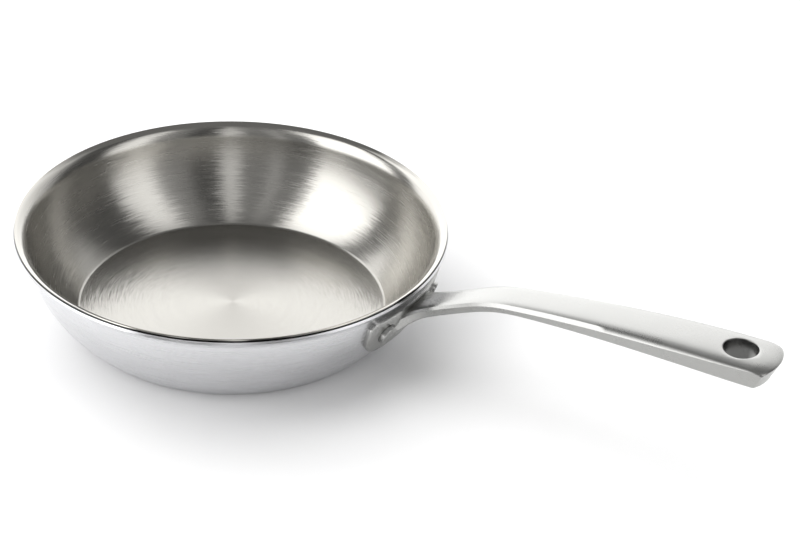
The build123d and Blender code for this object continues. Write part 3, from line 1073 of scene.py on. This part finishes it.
class PAN_OT_stage(bpy.types.Operator):
    """Set the white table, the soft light round it and the camera"""

    bl_idname = "omelette_pan.stage"
    bl_label = "Set the stage"

    def execute(self, context):
        scene = context.scene
        start_clean()
        bpy.ops.mesh.primitive_circle_add(vertices=96, radius=TABLE_RADIUS, fill_type="NGON")
        table = context.object
        table.name = "table"
        material, _, shader = new_material("matt_white_table")
        shader.inputs["Base Color"].default_value = (*scene.pan_finishes.table, 1)
        shader.inputs["Roughness"].default_value = 0.9
        shader.inputs["Specular IOR Level"].default_value = 0.2
        table.data.materials.append(material)
        self.surround(scene)
        self.key_light()
        self.camera(scene)
        scene.view_settings.view_transform = "Standard"
        return {"FINISHED"}

    def surround(self, scene):
        """A round of bright and dark cards that the metal reflects. The camera itself sees plain white."""
        world = bpy.data.worlds.new("studio")
        scene.world = world
        world.use_nodes = True
        tree = world.node_tree
        tree.nodes.clear()
        way = add(tree, "ShaderNodeTexCoord").outputs["Generated"]
        parts = add(tree, "ShaderNodeSeparateXYZ", {0: way})
        angle = add(tree, "ShaderNodeMath", {0: parts.outputs["Y"], 1: parts.outputs["X"]}, operation="ARCTAN2")
        turned_by = CAMERA_AZIMUTH - 90
        share = add(tree, "ShaderNodeMath", {0: angle.outputs[0], 1: 1 / (2 * pi)}, operation="MULTIPLY")
        shift = add(tree, "ShaderNodeMath", {0: share.outputs[0], 1: 0.5 - turned_by / 360}, operation="ADD")
        wrapped = add(tree, "ShaderNodeMath", {0: shift.outputs[0]}, operation="FRACT")
        ramp = add(tree, "ShaderNodeValToRGB", {0: wrapped.outputs[0]})
        stops = ramp.color_ramp.elements
        for i, (azimuth, level) in enumerate(SURROUNDINGS):
            place = (azimuth + 180) / 360
            stop = stops[i] if i < 2 else stops.new(place)
            stop.position = place
            stop.color = (*[level / CARD_STRENGTH] * 3, 1)
        back = radians(CAMERA_AZIMUTH)
        rise = {0: way, 1: (-OVERHEAD_LEAN * sin(back), OVERHEAD_LEAN * cos(back), 1)}
        high = add(tree, "ShaderNodeVectorMath", rise, operation="DOT_PRODUCT").outputs["Value"]
        ends = {"From Min": OVERHEAD_RANGE[0], "From Max": OVERHEAD_RANGE[1]}
        up = add(tree, "ShaderNodeMapRange", {"Value": high, **ends})
        fields = {0: up.outputs[0], 6: ramp.outputs[0], 7: OVERHEAD}
        mixed = add(tree, "ShaderNodeMix", fields, data_type="RGBA")
        cards = add(tree, "ShaderNodeBackground", {"Color": mixed.outputs[2], "Strength": CARD_STRENGTH})
        white = add(tree, "ShaderNodeBackground", {"Color": (1, 1, 1, 1), "Strength": 1.0})
        seen = add(tree, "ShaderNodeLightPath").outputs["Is Camera Ray"]
        shown = add(tree, "ShaderNodeMixShader", {0: seen, 1: cards.outputs[0], 2: white.outputs[0]})
        add(tree, "ShaderNodeOutputWorld", {"Surface": shown.outputs[0]})

    def key_light(self):
        """A large soft light over the table. Glossy rays don't see it, so it never shows in the metal."""
        bpy.ops.object.light_add(type="AREA", location=KEY_PLACE)
        light = bpy.context.object
        light.data.shape = "DISK"
        light.data.size = KEY_SIZE
        light.data.energy = KEY_POWER
        light.visible_glossy = False

    def camera(self, scene):
        """The camera of the photograph: a long lens from the front, a little rolled."""
        bpy.ops.object.camera_add(location=CAMERA_PLACE)
        camera = bpy.context.object
        camera.data.lens = CAMERA_LENS
        camera.data.sensor_width = CAMERA_SENSOR
        azimuth, elevation, roll = radians(CAMERA_AZIMUTH), radians(CAMERA_ELEVATION), radians(CAMERA_ROLL)
        forward = Vector((-sin(azimuth) * cos(elevation), cos(azimuth) * cos(elevation), -sin(elevation)))
        level = Vector((cos(azimuth), sin(azimuth), 0))
        above = level.cross(forward)
        right = cos(roll) * level + sin(roll) * above
        up = cos(roll) * above - sin(roll) * level
        turn = Matrix((right, up, -forward)).transposed()
        camera.rotation_euler = turn.to_euler()
        scene.camera = camera


class PAN_PT_sidebar(bpy.types.Panel):
    """The pan's sizes, finishes and build steps"""

    bl_idname = "PAN_PT_sidebar"
    bl_label = "Omelette Pan"
    bl_space_type = "VIEW_3D"
    bl_region_type = "UI"
    bl_category = "Omelette Pan"

    def draw(self, context):
        scene = context.scene
        for group in (scene.pan_sizes, scene.pan_handle, scene.pan_flange, scene.pan_finishes):
            box = self.layout.box()
            for name in group.__annotations__:
                box.prop(group, name)
        for operator in OPERATORS:
            self.layout.operator(operator.bl_idname)


OPERATORS = (PAN_OT_body, PAN_OT_handle, PAN_OT_rivets, PAN_OT_stage)
GROUPS = {
    "pan_sizes": PanSizes,
    "pan_handle": HandleSizes,
    "pan_flange": FlangeSizes,
    "pan_finishes": Finishes,
}


def register():
    for group in (*GROUPS.values(), *OPERATORS, PAN_PT_sidebar):
        bpy.utils.register_class(group)
    for name, group in GROUPS.items():
        setattr(bpy.types.Scene, name, PointerProperty(type=group))


def unregister():
    for name in GROUPS:
        delattr(bpy.types.Scene, name)
    for group in (PAN_PT_sidebar, *OPERATORS, *GROUPS.values()):
        bpy.utils.unregister_class(group)


def main():
    """Builds the pan and the stage in order."""
    register()
    bpy.ops.omelette_pan.body()
    bpy.ops.omelette_pan.handle()
    bpy.ops.omelette_pan.rivets()
    bpy.ops.omelette_pan.stage()
    bpy.context.view_layer.update()


if __name__ == "__main__":
    main()
